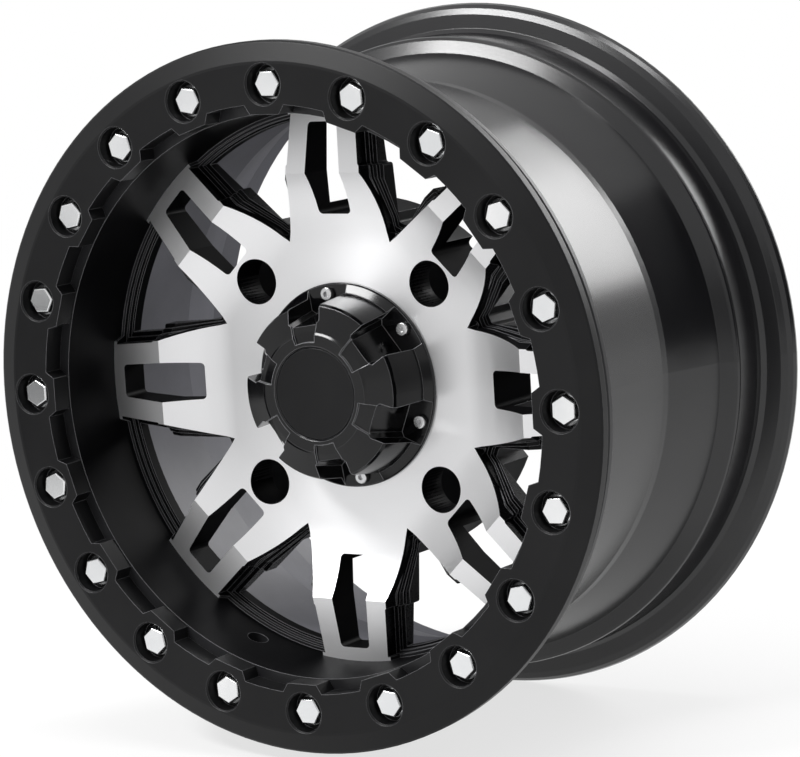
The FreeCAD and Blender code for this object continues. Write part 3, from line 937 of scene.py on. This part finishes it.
@dataclass
class Softbox:
    """A studio area lamp aimed at the wheel.

    Attributes:
        name: the lamp's name.
        place: its position, metres.
        size: width and height, metres.
        power: watts.
    """

    name: str
    place: Place
    size: Size
    power: float

    def build(self) -> None:
        """Adds the lamp to the scene."""
        lamp = bpy.data.lights.new(self.name, "AREA")
        lamp.shape = "RECTANGLE"
        lamp.size, lamp.size_y = self.size
        lamp.energy = self.power
        holder = bpy.data.objects.new(self.name, lamp)
        holder.location = self.place
        holder.rotation_euler = (-Vector(self.place)).to_track_quat("-Z", "Y").to_euler()
        holder.visible_camera = False
        bpy.context.scene.collection.objects.link(holder)


@dataclass
class Flag:
    """A dark studio card that only reflections see.

    Attributes:
        name: the card's name.
        place: its position, metres.
        size: width and height, metres.
        corners: number of its corners, evenly spaced.
        shade: its colour.
    """

    name: str
    place: Place
    size: Size
    corners: int = 4
    shade: Colour = (0.01, 0.01, 0.01)

    def finish(self) -> bpy.types.Material:
        """Returns the card's matt dark material."""
        material, _, shader = new_material(self.name)
        set_inputs(shader, {"Base Color": (*self.shade, 1.0), "Roughness": 1.0, "Specular IOR Level": 0.0})
        return material

    def build(self) -> None:
        """Adds the card to the scene, facing the wheel."""
        work = bmesh.new()
        reach = 0.5 / math.cos(math.pi / self.corners)
        bmesh.ops.create_circle(work, cap_ends=True, segments=self.corners, radius=reach)
        square = Matrix.Rotation(math.pi / self.corners, 4, "Z")
        bmesh.ops.transform(work, matrix=square, verts=work.verts)
        bmesh.ops.scale(work, verts=work.verts, vec=(*self.size, 1.0))
        aim = (-Vector(self.place)).to_track_quat("-Z", "Y").to_matrix().to_4x4()
        bmesh.ops.transform(work, matrix=Matrix.Translation(self.place) @ aim, verts=work.verts)
        mesh = bpy.data.meshes.new(self.name)
        work.to_mesh(mesh)
        work.free()
        mesh.materials.append(self.finish())
        card = bpy.data.objects.new(self.name, mesh)
        card.visible_camera = False
        card.visible_shadow = False
        card.visible_diffuse = False
        bpy.context.scene.collection.objects.link(card)


@dataclass
class Studio:
    """Camera, lamps, floor and background.

    Attributes:
        eye: camera position, metres.
        turn: the camera's turn about X, Y and Z, degrees.
        lens: focal length, mm.
        sensor: width of the sensor, mm.
        floor_z: height of the floor, metres.
        floor_reach: from its middle to its edges, metres.
        paper: the floor's colour.
        shadow_near: distance from the hub up to which the floor shows the most shadow, metres.
        shadow_far: distance from the hub where the floor has turned plain white, metres.
        near_white: share of plain white in the floor close by.
        fill: strength of the background's light.
        boxes: the lamps.
        flags: the dark cards.
    """

    eye: Place = (1.06237, -1.63378, 0.27156)
    turn: Place = (81.9742, 3.4709, 32.2960)
    lens: float = 162.2624
    sensor: float = 36.0
    floor_z: float = -0.1955
    floor_reach: float = 30.0
    paper: Colour = (0.93, 0.93, 0.93)
    shadow_near: float = 0.25
    shadow_far: float = 0.9
    near_white: float = 0.72
    fill: float = 0.45
    boxes: list[Softbox] = field(default_factory=lambda: [
        Softbox("key_box", (-0.9, -1.5, 1.6), (1.0, 0.4), 41.0),
        Softbox("back_box", (0.5, 1.9, 0.85), (1.5, 0.8), 26.0),
        Softbox("top_box", (0.2, -0.2, 2.0), (1.6, 0.4), 20.0),
    ])
    flags: list[Flag] = field(default_factory=lambda: [
        Flag("side_flag", (1.6, 0.85, 0.6), (1.3, 1.5)),
        Flag("left_flag", (-0.84, -0.62, -0.10), (0.62, 0.17)),
        Flag("lens_flag", (1.3, -1.9, 0.1), (0.7, 0.5)),
        Flag("rear_flag", (0.0, 0.13, 0.0), (0.35, 0.35), 48),
    ])

    def camera(self) -> None:
        """Places the camera at the photograph's viewpoint."""
        lens = bpy.data.cameras.new("view")
        lens.lens = self.lens
        lens.sensor_fit = "HORIZONTAL"
        lens.sensor_width = self.sensor
        holder = bpy.data.objects.new("view", lens)
        holder.location = self.eye
        holder.rotation_euler = [math.radians(angle) for angle in self.turn]
        bpy.context.scene.collection.objects.link(holder)
        bpy.context.scene.camera = holder

    def floor(self) -> None:
        """Lays the pale floor, white far away and taking the shadow near the wheel."""
        work = bmesh.new()
        bmesh.ops.create_grid(work, x_segments=1, y_segments=1, size=self.floor_reach)
        bmesh.ops.translate(work, verts=work.verts, vec=(0, 0, self.floor_z))
        mesh = bpy.data.meshes.new("floor")
        work.to_mesh(mesh)
        work.free()
        plane = bpy.data.objects.new("floor", mesh)
        bpy.context.scene.collection.objects.link(plane)
        mesh.materials.append(self.floor_finish())

    def floor_finish(self) -> bpy.types.Material:
        """Returns the floor's material: pale paper close by, plain white further off."""
        material, tree, shader = new_material("pale_floor")
        set_inputs(shader, {"Base Color": (*self.paper, 1.0), "Roughness": 0.9, "Specular IOR Level": 0.1})
        place = add_node(tree, "ShaderNodeTexCoord")
        reach = add_node(tree, "ShaderNodeVectorMath", operation="LENGTH")
        feed(tree, place.outputs["Object"], reach.inputs[0])
        limits = {"From Min": self.shadow_near, "From Max": self.shadow_far, "To Min": self.near_white}
        fade = range_node(tree, reach.outputs["Value"], limits)
        white = add_node(tree, "ShaderNodeEmission")
        set_inputs(white, {"Strength": 1.0})
        share = math_node(tree, "MULTIPLY", seen_rays(tree), fade)
        surface = tree.nodes["Material Output"].inputs["Surface"]
        blend_shaders(tree, share, shader.outputs["BSDF"], white.outputs["Emission"], surface)
        return material

    def background(self) -> None:
        """Sets a white background that metal also sees, over a plain level of fill."""
        world = bpy.data.worlds.new("studio")
        bpy.context.scene.world = world
        world.use_nodes = True
        tree = world.node_tree
        fill = tree.nodes["Background"]
        set_inputs(fill, {"Color": (1.0, 1.0, 1.0, 1.0), "Strength": self.fill})
        white = add_node(tree, "ShaderNodeBackground")
        set_inputs(white, {"Strength": 1.0})
        surface = tree.nodes["World Output"].inputs["Surface"]
        blend_shaders(tree, seen_rays(tree), fill.outputs["Background"], white.outputs["Background"], surface)

    def build(self) -> None:
        """Builds the whole studio."""
        self.camera()
        self.floor()
        self.background()
        for box in self.boxes:
            box.build()
        for flag in self.flags:
            flag.build()
        bpy.context.scene.view_settings.view_transform = "Standard"


def main() -> None:
    """Dresses the wheel piece by piece, then builds the studio."""
    logging.basicConfig(level=logging.INFO)
    effects = EffectGroups()
    Casting().dress(effects)
    PlainNode("beadlock_ring", RING_PAINT).dress(effects)
    PlainNode("centre_cap", CAP_PLASTIC).dress(effects)
    PlainNode("cap_disc", DISC_PLASTIC).dress(effects)
    RingBolts().build(effects)
    CapScrews().build(effects)
    Studio().build()


if __name__ == "__main__":
    main()
